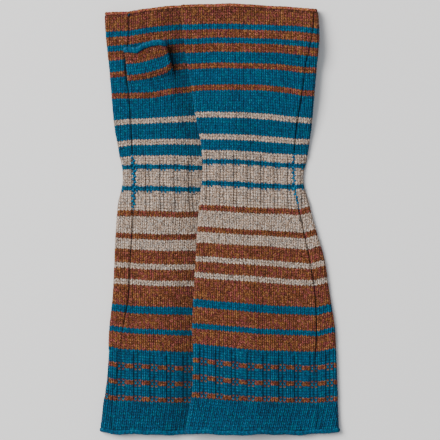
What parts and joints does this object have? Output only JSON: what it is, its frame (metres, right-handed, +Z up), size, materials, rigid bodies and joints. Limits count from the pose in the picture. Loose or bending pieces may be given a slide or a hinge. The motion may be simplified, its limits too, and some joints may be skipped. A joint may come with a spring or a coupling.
{
  "type": "pair of knitted arm warmers",
  "caption": "Pair of striped knitted arm warmers with thumb tubes, ribbed wrists and ribbed arm bands, laid flat with one lapped over the other.",
  "frame": {"origin": "centre of the pair's outline, on the surface that it lies on", "axes": "+Y from the arm openings to the finger openings, +X from the left warmer to the right one, +Z up from the surface"},
  "size_m": [0.1906, 0.3438, 0.0154],
  "materials": {
    "striped_knit": "heathered wool knit striped in teal, rust brown and oatmeal, matt and slightly fuzzy",
    "teal_edge": "heathered teal wool knit, rolled edge, matt",
    "rust_edge": "heathered rust brown wool knit, cast-off edge, matt"
  },
  "bodies": {
    "root": {"left_arm_tube": "striped_knit", "left_finger_edge": "rust_edge", "left_arm_edge": "teal_edge", "left_thumb_tube": "striped_knit", "left_thumb_edge": "teal_edge", "right_arm_tube": "striped_knit", "right_finger_edge": "rust_edge", "right_arm_edge": "teal_edge", "right_thumb_tube": "striped_knit", "right_thumb_edge": "teal_edge"}
  },
  "joints": []
}
